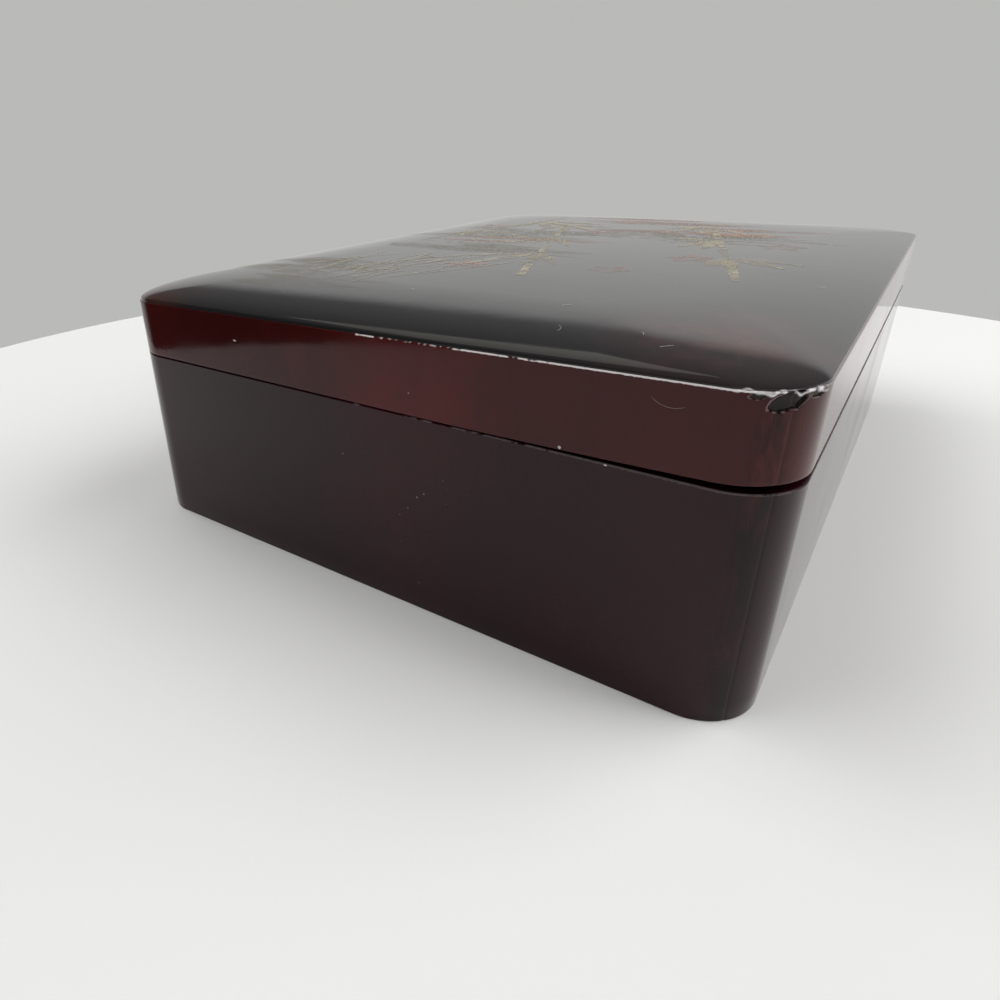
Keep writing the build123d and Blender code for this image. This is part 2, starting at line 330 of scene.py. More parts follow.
def side_lacquer(name, colour, shade, edge, edge_wear_and_highlight, lift=0.0, drop=0.0, chipped=False):
    """Wine red lacquer of the sides: darker and lighter in upright bands, with a thin pale line along one
    edge that is partly rubbed lacquer and partly a painted highlight on the rounded edge;
    the edge may be lifted on the right and dropped on the left."""
    finish = Finish(name)
    height = finish.along("Z") - finish.along("X") * ((lift + drop) / (2 * OUTER_X)) - (lift - drop) / 2
    bands = finish.cloud(5.0, 3.0, finish.scaled(2.0, 2.0, 0.45))
    blotch = finish.cloud(16.0, 5.0, finish.scaled(1.0, 1.0, 0.6), roughness=0.62)
    deep = finish.colour([c * shade for c in colour])
    body = deep.blend(finish.colour(colour), bands.above(0.36, 0.66))
    redder = finish.colour((colour[0] * 1.7, colour[1] * 0.9, colour[2] * 0.75))
    body = body.blend(redder, blotch.above(0.50, 0.75) * 0.7)
    # Pale colour of rubbed lacquer and dust, also used as a painted highlight along the edge and on a dent
    wear = finish.colour(SIDE_WEAR_AND_HIGHLIGHT)
    ragged = finish.cloud(900.0, 4.0) * 0.0006
    patchy = finish.cloud(60.0, 4.0, finish.scaled(1.0, 1.0, 0.1)) * 0.5 + finish.cloud(330.0, 3.0) * 0.5
    right_side = finish.along("X").above(OUTER_X - 0.004, OUTER_X - 0.001)
    worn = (patchy + finish.along("X") * 2.0).above(0.52, 0.60) * (1 - right_side * 0.7)
    outside = finish.attribute("outer").above(0.95, 0.99)
    # Thin near white line just under the edge: partly rubbed lacquer, partly a painted highlight where the
    # rounded edge catches the light
    bare = (height - edge + ragged).above(-0.00025, -0.00004) * worn * outside
    body = body.blend(wear, bare * edge_wear_and_highlight)
    near = near_corner(finish)
    streaks = finish.cloud(90.0, 5.0, finish.scaled(2.2, 2.2, 0.5), 0.4, 0.7)
    darkest = finish.colour([c * 0.15 for c in colour])
    body = body.blend(darkest, near * (1 - streaks.above(0.40, 0.56)) * 0.7)
    front = 1 - finish.along("Y").above(0.0002 - OUTER_Y, 0.0006 - OUTER_Y)
    # Pale specks and nicks, and a painted highlight for a small dent on the lid's left
    for x, z, half_width, half_height in FRONT_SPECKS_AND_HIGHLIGHTS:
        body = body.blend(wear, oval(finish, x, z, half_width, half_height).above(0.0, 0.4) * front * 0.6)
    if chipped:
        from_scratch = (finish.distance_from(SCRATCH_CENTRE) - SCRATCH_RADIUS).magnitude()
        scratch = (1 - from_scratch.above(0.00003, 0.00010)) * (1 - height.above(0.104, 0.1055))
        scratch = scratch * (1 - finish.along("X").above(0.1165, 0.1185))
        body = body.blend(wear, scratch * front * 0.2)
        body = body.blend(finish.colour((0.085, 0.014, 0.011)), near * streaks.above(0.52, 0.70) * 0.65)
        body, broken = broken_places(finish, body)
        lacquer(finish, body, wear, 0.06, SIDE_DENSITY, broken)
    else:
        body = body.blend(finish.colour((0.055, 0.010, 0.010)), near * streaks.above(0.54, 0.68) * 0.35)
        lacquer(finish, body, wear, 0.06, SIDE_DENSITY)
    return finish.material


def oval(finish, x, z, half_width, half_height):
    """1 in the middle of an oval on the front, and 0 along its edge."""
    across = finish.along("X") - x * MM
    up = finish.along("Z") - z * MM
    across, up = across * (1 / (half_width * MM)), up * (1 / (half_height * MM))
    return 1 - (across * across + up * up)


def near_corner(finish):
    """An upright band on the rounded near right corner, where the lacquer is rubbed thin."""
    across = finish.along("X") - OUTER_X
    depth = finish.along("Y") + OUTER_Y
    return (1 - depth.above(0.006, 0.010)) * across.above(-0.0155, -0.0115)


def black_lacquer(name, colour):
    """Black lacquer of the crown, browner where it is rubbed thin near the edges, with a reddish stain."""
    finish = Finish(name)
    brown = finish.colour((0.060, 0.026, 0.018))
    low = 1 - finish.along("Z").above(RIDGE_HEIGHT + 0.001, CROWN_TOP - 0.0015)
    rubbed = finish.cloud(9.0, 4.0).above(0.5, 0.75) * low
    body = finish.colour(colour).blend(brown, rubbed * 0.65)
    near_stain = 1 - finish.distance_from(STAIN_PLACE).above(0.004, 0.050)
    stain = near_stain * finish.cloud(38.0, 5.0, roughness=0.65).above(0.30, 0.75)
    body = body.blend(finish.colour((0.085, 0.036, 0.030)), stain * 0.75)
    wear = finish.colour(TOP_WEAR)
    body, broken = broken_places(finish, body)
    lines = scratches(finish, 420.0, 0.5, 0.008, 0.34).most(scratches(finish, 380.0, -0.9, 0.006, 0.32))
    lacquer(finish, body, wear, 0.07, TOP_DENSITY, broken, lines)
    return finish.material


def inner_lacquer(name, colour):
    """Thin black lacquer inside, duller than outside, with brush marks along the boards."""
    finish = Finish(name)
    brush = finish.cloud(26.0, 5.0, finish.scaled(4.0, 0.5, 4.0))
    body = finish.colour(colour).blend(finish.colour((0.04, 0.022, 0.018)), brush.above(0.4, 0.7))
    finish.set(Base_Color=body, Roughness=0.42 + brush * 0.18, Normal=finish.bump(brush, 0.00006))
    return finish.material


def bare_wood(name, colour, direction):
    """Sanded bare wood with its grain along one axis, darker lines and pores."""
    finish = Finish(name)
    stretch = {"X": (1.0, 16.0, 16.0), "Y": (16.0, 1.0, 16.0)}[direction]
    grained = finish.scaled(*stretch)
    rings = finish.cloud(3.2, 6.0, grained, 1.1, 0.55)
    fibre = finish.cloud(30.0, 4.0, grained, 0.3)
    light = finish.colour([c * 1.3 for c in colour])
    dark = finish.colour([c * 0.5 for c in colour])
    body = light.blend(finish.colour(colour), rings.above(0.3, 0.55))
    body = body.blend(dark, rings.above(0.56, 0.74) * 0.6)
    body = body.blend(dark, fibre.above(0.56, 0.72) * 0.35)
    handled = finish.cloud(6.0, 3.0).above(0.45, 0.75)
    body = body.blend(finish.colour([c * 0.42 for c in colour]), handled * 0.35)
    finish.set(
        Base_Color=body,
        Roughness=0.52 + fibre * 0.2,
        Normal=finish.bump(fibre * 0.6 + rings * 0.4, 0.00012),
    )
    return finish.material


def felt(name, colour):
    """Short pressed felt: fibres, slight pilling and rubbed lighter patches."""
    finish = Finish(name)
    fibres = finish.cloud(1400.0, 5.0, roughness=0.7)
    tufts = finish.cloud(320.0, 4.0)
    rubbed = finish.cloud(22.0, 4.0).above(0.45, 0.72)
    body = finish.colour([c * 0.6 for c in colour]).blend(finish.colour([c * 1.5 for c in colour]), fibres)
    body = body.blend(finish.colour([c * 1.7 + 0.012 for c in colour]), rubbed * 0.35)
    finish.set(
        Base_Color=body,
        Roughness=0.95,
        Sheen_Weight=0.35,
        Sheen_Roughness=0.5,
        Normal=finish.bump(fibres * 0.7 + tufts * 0.5, 0.0004),
    )
    return finish.material


def aged_brass(name, colour):
    """Brass with dark tarnish in patches over it, and fine scratches."""
    finish = Finish(name)
    tarnish = finish.cloud(160.0, 5.0, roughness=0.65).above(0.42, 0.7)
    marks = scratches(finish, 900.0, 0.2, 0.02, 0.7)
    body = finish.colour(colour).blend(finish.colour((0.17, 0.10, 0.045)), tarnish * 0.6)
    finish.set(
        Base_Color=body,
        Metallic=1.0,
        Roughness=0.22 + tarnish * 0.25 + marks * 0.1,
        Normal=finish.bump(marks * 0.3 + tarnish * 0.3, 0.00005),
    )
    return finish.material


def faded_paint(name, colour, strength, soft):
    """Old thin paint on the lacquer: worn through in patches and along fine brush lines, and thinner
    towards the sides of each mark."""
    finish = Finish(name)
    worn = finish.cloud(46.0, 6.0, roughness=0.68)
    hairs = finish.cloud(1.0, 3.0, finish.scaled(260.0, 90.0, 300.0))
    patches = finish.cloud(15.0, 3.0).above(0.36, 0.58)
    cover = worn.above(0.30, 0.56) * (hairs.above(0.30, 0.6) * 0.45 + 0.55) * (patches * 0.6 + 0.4)
    cover = cover * finish.attribute("cover").above(0.0, soft)
    tone = finish.cloud(120.0, 4.0)
    body = finish.colour([c * 0.6 for c in colour]).blend(finish.colour([c * 1.25 for c in colour]), tone)
    finish.set(Base_Color=body, Roughness=0.30 + worn * 0.2, Alpha=cover * strength)
    return finish.material


def floor_finish(name):
    """Pale matt floor with a faint mottle."""
    finish = Finish(name)
    mottle = finish.cloud(3.0, 3.0)
    body = finish.colour((0.74, 0.74, 0.73)).blend(finish.colour((0.79, 0.79, 0.78)), mottle)
    finish.set(Base_Color=body, Roughness=0.9, Specular_IOR_Level=0.2)
    return finish.material


# ---------------------------------------------------------------- mesh helpers


def piece_from(bm, name, body, materials, replaces=(), smooth_angle=radians(32)):
    """A bmesh as a finished piece that rides on a body and stands for the nodes that it replaces."""
    bmesh.ops.recalc_face_normals(bm, faces=bm.faces)
    for face in bm.faces:
        face.smooth = True
    for edge in bm.edges:
        if edge.is_manifold:
            edge.smooth = edge.calc_face_angle(0.0) < smooth_angle
    mesh = bpy.data.meshes.new(name)
    bm.to_mesh(mesh)
    bm.free()
    for material in materials:
        mesh.materials.append(material)
    piece = bpy.data.objects.new(name, mesh)
    bpy.context.scene.collection.objects.link(piece)
    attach(piece, body)
    if replaces:
        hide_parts(*replaces)
    return piece


def mapped_grid(bm, columns, rows, surface):
    """A grid whose points go where surface(column, row) says, each from 0 to its number of steps. Returns
    the points with their columns and rows."""
    made = bmesh.ops.create_grid(bm, x_segments=columns, y_segments=rows, size=0.5)
    placed = []
    for vert in made["verts"]:
        column = round((vert.co.x + 0.5) * columns)
        row = round((vert.co.y + 0.5) * rows)
        vert.co = surface(column, row)
        placed.append((vert, column, row))
    return placed


def outline_point(turn, half_x, half_y, radius):
    """Place and outward direction on a rounded rectangle, in plan. A whole round is 4 turns, one to a side:
    the first half of each is a corner's arc, and the second half is the straight run after it."""
    side = int(turn) % 4
    part = turn - int(turn)
    quarter = Matrix.Rotation(side * pi / 2, 2)
    along, across = (half_y, half_x) if side % 2 else (half_x, half_y)
    if part <= 0.5:
        angle = -pi / 2 + part * pi
        away = Vector((cos(angle), sin(angle)))
        place = Vector((along - radius, radius - across)) + away * radius
    else:
        away = Vector((1.0, 0.0))
        place = Vector((along, (across - radius) * (4 * part - 3)))
    return quarter @ place, quarter @ away


def stops_along(first, last, sizes):
    """Stops along the outline from one turn to another, closest round the corner that is chipped."""
    stops = []
    turn = first
    while turn < last - 1e-9:
        half = int(turn * 2 + 1e-9)
        end = min((half + 1) / 2, last)
        steps = sizes.run_steps
        if half % 2 == 0:
            steps = sizes.chipped_corner_steps if half % 8 == 0 else sizes.corner_steps
        count = max(1, round(steps * (end - turn) * 2))
        stops += [turn + (end - turn) * i / count for i in range(count)]
        turn = end
    return stops + [last]


def close_ends(bm):
    """Merges the points that met, and closes the open ends."""
    bmesh.ops.remove_doubles(bm, verts=bm.verts, dist=1e-6)
    bmesh.ops.dissolve_degenerate(bm, dist=1e-7, edges=bm.edges)
    bmesh.ops.holes_fill(bm, edges=[edge for edge in bm.edges if edge.is_boundary], sides=0)


def clamp(value, reach):
    return max(-reach, min(reach, value))


# ---------------------------------------------------------------- forms of the lid

# Room left under the top of the solid lid for the layers of paint
PAINT_ROOM = 0.16 * MM

# Flakes knocked off the ridge round the near right corner, in millimetres: way along the ridge from the
# start of the corner's arc, height over the ridge, half length, half height and depth
FLAKES = [
    (7.6, -1.0, 2.2, 0.9, 0.4),
    (15.8, -2.4, 5.4, 2.4, 1.1),
    (25.5, -0.7, 3.6, 1.4, 0.7),
]
FLAKE_SLOPE = 0.16

# Where the ridge is damaged, along it and inwards, and the width of the torn edge, in millimetres
DAMAGE_START, DAMAGE_END, DAMAGE_REACH = -5, 45, 6
TORN_WIDTH = 0.42


def warp_at(x, sizes):
    """How far the lid's rim has lifted, on the shallow arc of the solid rim."""
    run = OUTER_X - LID_WALL - sizes.warp_start
    rise = WARPED_RIM_LOW - RIM_LOW
    radius = (run * run + rise * rise) / (2 * rise)
    past = max(0.0, x - sizes.warp_start)
    return radius - sqrt(radius * radius - past * past)


def ridge_shift(x, height, sizes):
    """How far the warped ridge moves a place on the lid, down to nothing on the level top."""
    share = (x + OUTER_X) / (2 * OUTER_X)
    up_crown = min(max((height - RIDGE_HEIGHT) / (CROWN_TOP - PAINT_ROOM - RIDGE_HEIGHT), 0.0), 1.0)
    return (sizes.ridge_lift * share - sizes.ridge_drop * (1 - share)) * (1 - up_crown)


def warp_lid(bm, sizes):
    """Lifts the lid's rim on its arc and the ridge evenly towards the right, and leaves the level top."""
    for vert in bm.verts:
        up_wall = min(max((vert.co.z - RIM_LOW) / (RIDGE_HEIGHT - RIM_LOW), 0.0), 1.0)
        shift = ridge_shift(vert.co.x, vert.co.z, sizes)
        vert.co.z += warp_at(vert.co.x, sizes) * (1 - up_wall) + shift * up_wall


def crown_contour(angle, sizes):
    """Inset, corner radius and height of the crown's contour at an angle up its quarter ellipse."""
    inset = sizes.crown_inset * (1 - cos(angle))
    radius = sizes.corner_radius + sizes.crown_growth * inset
    return inset, radius, RIDGE_HEIGHT + (CROWN_TOP - RIDGE_HEIGHT - PAINT_ROOM) * sin(angle)


def crown_height(x, y, sizes):
    """Height of the crown over a place in plan, found by halving the step between contours."""
    low, high = 0.0, pi / 2
    for _ in range(22):
        middle = (low + high) / 2
        inset, radius, _height = crown_contour(middle, sizes)
        reach_x = abs(x) - (OUTER_X - inset - radius)
        reach_y = abs(y) - (OUTER_Y - inset - radius)
        outside = hypot(max(reach_x, 0.0), max(reach_y, 0.0)) + min(max(reach_x, reach_y), 0.0) - radius
        if outside < 0:
            low = middle
        else:
            high = middle
    height = crown_contour((low + high) / 2, sizes)[2]
    return height + max(ridge_shift(x, height, sizes), 0.0)


def torn_edge(way):
    """Height over the ridge of the lacquer's wavy torn edge, in millimetres."""
    return 0.7 * sin(way * 0.62 - 1.4) + 0.35 * sin(way * 1.5 + 0.6) - max(0.0, way - 20) * 0.09


def along_ridge(point, radius):
    """Way along the ridge from the start of the near right corner's arc, the outward direction there,
    and how far inwards the point lies."""
    x_past = point.x - (OUTER_X - radius)
    y_past = point.y + (OUTER_Y - radius)
    if y_past < 0 < x_past:
        out = Vector((x_past, y_past, 0)).normalized()
        return radius * out.angle(Vector((0, -1, 0))), out, radius - hypot(x_past, y_past)
    if y_past < 0:
        return x_past, Vector((0, -1, 0)), point.y + OUTER_Y
    return radius * pi / 2 + y_past, Vector((1, 0, 0)), OUTER_X - point.x


def chip_corner(bm, sizes):
    """Flakes the ridge round the near right corner, and marks the broken points and the torn edge."""
    chipped = bm.verts.layers.float.new("chipped")
    torn = bm.verts.layers.float.new("torn")
    for vert in bm.verts:
        way, out, inwards = along_ridge(vert.co, sizes.corner_radius)
        way, inwards, over = way / MM, inwards / MM, (vert.co.z - RIDGE_HEIGHT) / MM
        if not DAMAGE_START < way < DAMAGE_END or inwards > DAMAGE_REACH:
            continue
        over += max(inwards, 0.0) * 0.5 if over > 0 else 0.0
        ragged = noise.noise(Vector((way * 0.4, over * 0.5, 0.7))) * 0.35
        depth = 0.0
        for along, height, half_length, half_height, flake_depth in FLAKES:
            climb = FLAKE_SLOPE * (way - along)
            reach = hypot((way - along) / half_length, (over - height - climb) / half_height) + ragged
            share = min(max((1.08 - reach) / 0.20, 0.0), 1.0)
            depth = max(depth, flake_depth * share)
            vert[chipped] = max(vert[chipped], share)
            vert[torn] = max(vert[torn], max(0.0, 0.22 - abs(reach - 1.09) * 3))
        ends = min(max((way - 1) / 2, 0.0), max((30 - way) / 2, 0.0), 1.0)
        line = max(0.0, 1.3 - abs(over - torn_edge(way)) / TORN_WIDTH)
        blob = max(0.0, 1.4 - hypot((way - 27) / 1.7, (over + 0.3) / 0.9))
        vert[torn] = min(max(vert[torn], line * ends, blob), 1.0)
        vert[chipped] *= 1 - vert[torn]
        vert.co -= (out + Vector((0, 0, 0.4))) * depth * MM


# ---------------------------------------------------------------- walls

# Part of a turn over which the hairline at a mitre sinks in
MITRE_TURN = 0.012


def wall_profile(low, high, bottom_arris, top_arris, rows):
    """Cross-section of a wall from its inner top, down, round and up the outside: (how far in, height)."""
    points = [(None, high), (None, low)]
    for step in range(4):
        angle = pi / 2 * step / 3
        points.append((bottom_arris * (1 - sin(angle)), low + bottom_arris * (1 - cos(angle))))
    start = low + bottom_arris
    for step in range(1, rows + 1):
        share = 1 - (1 - step / rows) ** 2
        points.append((0.0, start + (high - top_arris - start) * share))
    for step in range(1, 5):
        angle = pi / 2 * step / 4
        points.append((top_arris * (1 - cos(angle)), high - top_arris * (1 - sin(angle))))
    points.append((None, high))
    return points


def mitred_wall(node, first, last, wall, profile, body, materials, sizes, shape_it=None):
    """One wall with its share of the rounded corners, from one turn of the outline to another."""
    stops = [first] + stops_along(first + MITRE_TURN, last - MITRE_TURN, sizes) + [last]
    inner_x, inner_y = OUTER_X - wall, OUTER_Y - wall
    mitred = {0, len(stops) - 1}

    def surface(column, row):
        inset, height = profile[row]
        place, away = outline_point(stops[column], OUTER_X, OUTER_Y, sizes.corner_radius)
        if inset is None:
            return Vector((clamp(place.x, inner_x), clamp(place.y, inner_y), height))
        if column in mitred:
            inset += sizes.mitre_line
        return Vector((*(place - away * inset), height))

    bm = bmesh.new()
    outer = bm.verts.layers.float.new("outer")
    for vert, _column, row in mapped_grid(bm, len(stops) - 1, len(profile) - 1, surface):
        vert[outer] = 0.0 if profile[row][0] is None else 1.0
    close_ends(bm)
    for face in bm.faces:
        centre = face.calc_center_median()
        inside = abs(centre.x) < inner_x + 0.1 * MM and abs(centre.y) < inner_y + 0.1 * MM
        face.material_index = 1 if inside else 0
    if shape_it:
        shape_it(bm, sizes)
    return piece_from(bm, f"lacquered_{node}", body, materials, [node])


def lid_shape(bm, sizes):
    """Wear on the shape of the lid: chipped first, so that the flakes move with the warp."""
    chip_corner(bm, sizes)
    warp_lid(bm, sizes)


# ---------------------------------------------------------------- operators

FLOOR_RADIUS = 0.565

# Lamps over the case: place, width and power in watts. The last one shows as a soft band in the gloss.
LAMPS = {
    "key_light": ((-1.4, -0.7, 2.2), 2.4, 48.0),
    "fill_light": ((1.7, 1.1, 1.9), 2.4, 72.0),
    "gloss_light": ((-0.95, 0.60, 1.72), 1.6, 2.2),
}
GLOSS_LIGHT_COLOUR = (1.0, 0.98, 0.86)
GLOSS_LIGHT_HEIGHT = 0.6

# The room: its colour by the height looked at, the way to its dark side, and the wall behind the case
ROOM_STOPS = [
    (0.0, (0.68, 0.68, 0.67, 1)),
    (0.325, (0.68, 0.68, 0.67, 1)),
    (0.39, (0.20, 0.20, 0.20, 1)),
    (1.0, (0.10, 0.10, 0.105, 1)),
]
DARK_SIDE = (-0.66, -0.72, 0.18)
DARK_COLOUR = (0.03, 0.03, 0.03, 1)
WALL_COLOUR = (0.49, 0.495, 0.475, 1)

CAMERA_PLACE = (0.16523, -0.38240, 0.17496)
CAMERA_PITCH = radians(25.53)
CAMERA_ROLL = radians(-1.37)
CAMERA_YAW = radians(-36.62)
CAMERA_LENS = 25.06
CAMERA_SHIFT = (0.086, -0.027)


class GAMECASE_OT_stage(bpy.types.Operator):
    """Pale floor, soft lights and the camera"""

    bl_idname = "game_case.stage"
    bl_label = "Stage"

    def execute(self, context):
        bm = bmesh.new()
        bmesh.ops.create_circle(bm, cap_ends=True, radius=FLOOR_RADIUS, segments=128)
        mesh = bpy.data.meshes.new("floor")
        bm.to_mesh(mesh)
        bm.free()
        mesh.materials.append(floor_finish("pale_floor"))
        floor = bpy.data.objects.new("floor", mesh)
        context.scene.collection.objects.link(floor)
        lamps = {name: soft_lamp(name, *settings) for name, settings in LAMPS.items()}
        gloss = lamps["gloss_light"]
        gloss.visible_glossy = True
        gloss.data.color = GLOSS_LIGHT_COLOUR
        gloss.data.shape = "RECTANGLE"
        gloss.data.size_y = GLOSS_LIGHT_HEIGHT
        studio_world(context.scene)
        photo_camera(context.scene)
        context.scene.view_settings.view_transform = "Standard"
        return {"FINISHED"}


def soft_lamp(name, place, width, power):
    """A wide soft lamp that points at the case and leaves no hard glare on the lacquer."""
    lamp = bpy.data.lights.new(name, "AREA")
    lamp.size = width
    lamp.energy = power
    holder = bpy.data.objects.new(name, lamp)
    towards_case = (-Vector(place)).to_track_quat("-Z", "Y")
    holder.matrix_world = Matrix.Translation(place) @ towards_case.to_matrix().to_4x4()
    holder.visible_glossy = False
    bpy.context.scene.collection.objects.link(holder)
    return holder


def studio_world(scene):
    """A low pale wall all round with a dim room above it, and a dark side of the room beyond the floor."""
    world = bpy.data.worlds.new("studio")
    world.use_nodes = True
    tree = world.node_tree
    start = Socket(tree, None)
    direction = start.node("ShaderNodeTexCoord", out=0)
    height = start.node("ShaderNodeSeparateXYZ", out=2, Vector=direction)
    room = height.node("ShaderNodeValToRGB", {"stops": ROOM_STOPS}, Fac=height)
    settings = {"operation": "DOT_PRODUCT"}
    toward = start.node("ShaderNodeVectorMath", settings, out=1, _0=direction, _1=DARK_SIDE)
    dark = start.node("ShaderNodeRGB")
    dark.link.default_value = DARK_COLOUR
    room = room.blend(dark, toward.above(0.70, 0.86))
    wall = start.node("ShaderNodeRGB")
    wall.link.default_value = WALL_COLOUR
    seen = start.node("ShaderNodeLightPath", out=0)
    tree.links.new(room.blend(wall, seen).link, tree.nodes["Background"].inputs["Color"])
    scene.world = world


def photo_camera(scene):
    """The camera at the photograph's viewing angle."""
    level = cos(CAMERA_PITCH)
    forward = Vector((level * sin(CAMERA_YAW), level * cos(CAMERA_YAW), -sin(CAMERA_PITCH)))
    right = Vector((cos(CAMERA_YAW), -sin(CAMERA_YAW), 0))
    up = right.cross(forward)
    turned = Matrix((right, up, -forward)).transposed() @ Matrix.Rotation(CAMERA_ROLL, 3, "Z")
    camera = bpy.data.cameras.new("camera")
    camera.lens = CAMERA_LENS
    camera.sensor_width = 36.0
    camera.shift_x, camera.shift_y = CAMERA_SHIFT
    camera.clip_start = 0.01
    holder = bpy.data.objects.new("camera", camera)
    holder.matrix_world = Matrix.Translation(CAMERA_PLACE) @ turned.to_4x4()
    scene.collection.objects.link(holder)
    scene.camera = holder


class GAMECASE_OT_lid_walls(bpy.types.Operator):
    """Four mitred walls of the lid, warped on the right and knocked at one corner"""

    bl_idname = "game_case.lid_walls"
    bl_label = "Lid walls"

    def execute(self, context):
        sizes = context.scene.case_sizes
        colours = context.scene.case_colours
        outside = side_lacquer(
            "lid_side_lacquer", colours.red_lacquer, 0.55, RIDGE_HEIGHT, 0.9,
            sizes.ridge_lift, sizes.ridge_drop, chipped=True,
        )
        inside = inner_lacquer("lid_inner_lacquer", colours.black_lacquer)
        profile = wall_profile(RIM_LOW, RIDGE_HEIGHT, sizes.arris, sizes.ridge_arris, 44)
        for turn, side in enumerate(("right", "back", "left", "front")):
            mitred_wall(
                f"lid_{side}_wall", turn + 0.25, turn + 1.25, LID_WALL, profile, "lid",
                [outside, inside], sizes, lid_shape,
            )
        return {"FINISHED"}


class GAMECASE_OT_lid_top(bpy.types.Operator):
    """Crowned top of the lid, through contours up a quarter ellipse"""

    bl_idname = "game_case.lid_top"
    bl_label = "Lid top"

    def execute(self, context):
        sizes = context.scene.case_sizes
        colours = context.scene.case_colours
        rings = sizes.crown_rings
        stops = stops_along(0.0, 4.0, sizes)
        inner_x, inner_y = OUTER_X - LID_WALL, OUTER_Y - LID_WALL

        def surface(column, row):
            inset, radius, height = crown_contour(pi / 2 * (1 - min(row, rings) / rings), sizes)
            inset = max(inset, sizes.ridge_arris)
            place, _away = outline_point(stops[column], OUTER_X - inset, OUTER_Y - inset, radius)
            if row > rings:
                height = RIDGE_HEIGHT if row == rings + 1 else TONGUE_LOW
                return Vector((clamp(place.x, inner_x), clamp(place.y, inner_y), height))
            return Vector((*place, height))

        bm = bmesh.new()
        mapped_grid(bm, len(stops) - 1, rings + 2, surface)
        close_ends(bm)
        for face in bm.faces:
            face.material_index = 1 if face.calc_center_median().z < RIDGE_HEIGHT - 0.01 * MM else 0
        lid_shape(bm, sizes)
        outside = black_lacquer("lid_top_lacquer", colours.black_lacquer)
        inside = inner_lacquer("lid_underside_lacquer", colours.black_lacquer)
        piece_from(bm, "lacquered_lid_top", "lid", [outside, inside], ["lid_top_panel"])
        return {"FINISHED"}


class GAMECASE_OT_case_walls(bpy.types.Operator):
    """Three mitred walls of the case and the two rounded stiles of its drawer side"""

    bl_idname = "game_case.case_walls"
    bl_label = "Case walls"

    def execute(self, context):
        sizes = context.scene.case_sizes
        colours = context.scene.case_colours
        outside = side_lacquer("case_side_lacquer", colours.dark_lacquer, 0.7, SEAM_HEIGHT, 0.10)
        inside = inner_lacquer("case_inner_lacquer", colours.black_lacquer)
        profile = wall_profile(0.0, SEAM_HEIGHT, sizes.arris, sizes.arris, 24)
        straight = OUTER_Y - sizes.corner_radius
        stile_share = (straight - STILE_END) / straight / 4
        spans = {
            "case_right_wall": (0.25, 1.25),
            "case_back_wall": (1.25, 2.25),
            "case_front_wall": (3.25, 4.25),
            "drawer_side_back_stile": (2.25, 2.5 + stile_share),
            "drawer_side_front_stile": (3.0 - stile_share, 3.25),
        }
        for node, (first, last) in spans.items():
            mitred_wall(node, first, last, CASE_WALL, profile, "case", [outside, inside], sizes)
        return {"FINISHED"}


class GAMECASE_OT_knobs(bpy.types.Operator):
    """Turned brass knobs, one to a drawer"""

    bl_idname = "game_case.knobs"
    bl_label = "Knobs"

    def execute(self, context):
        brass = aged_brass("aged_brass", context.scene.case_colours.brass)
        radius = context.scene.case_sizes.knob_radius
        for drawer in DRAWERS:
            low, high = node_box(f"{drawer}_knob")
            face = node_box(f"{drawer}_front")[0].x
            centre = Vector((face, (low.y + high.y) / 2, (low.z + high.z) / 2))
            turned_knob(drawer, centre, face - low.x, radius, (high.y - low.y) / 2, brass)
        return {"FINISHED"}


def turned_knob(drawer, centre, length, head, rosette, brass):
    """A knob spun about the X axis: stepped rosette, cove neck, and a domed head with a turned ring."""
    outline = [
        (0.00, rosette),
        (0.05, rosette),
        (0.09, rosette * 0.93),
        (0.12, rosette * 0.72),
        (0.15, rosette * 0.60),
        (0.24, head * 0.47),
        (0.38, head * 0.42),
        (0.49, head * 0.50),
        (0.59, head * 0.80),
        (0.64, head * 0.97),
        (0.70, head),
        (0.76, head * 0.96),
        (0.79, head * 0.86),
        (0.82, head * 0.84),
        (0.91, head * 0.66),
        (0.97, head * 0.38),
        (1.00, head * 0.12),
        (1.00, 0.0),
    ]
    bm = bmesh.new()
    points = [bm.verts.new(centre + Vector((-length * depth, 0, reach))) for depth, reach in outline]
    edges = [bm.edges.new(pair) for pair in zip(points, points[1:])]
    bmesh.ops.spin(
        bm, geom=points + edges, cent=centre, axis=(1, 0, 0), angle=2 * pi, steps=32, use_merge=True
    )
    close_ends(bm)
    name = f"turned_{drawer}_knob"
    piece = piece_from(bm, name, drawer, [brass], [f"{drawer}_knob"], radians(75))
    smooth = piece.modifiers.new("smooth", "SUBSURF")
    smooth.levels = smooth.render_levels = 2


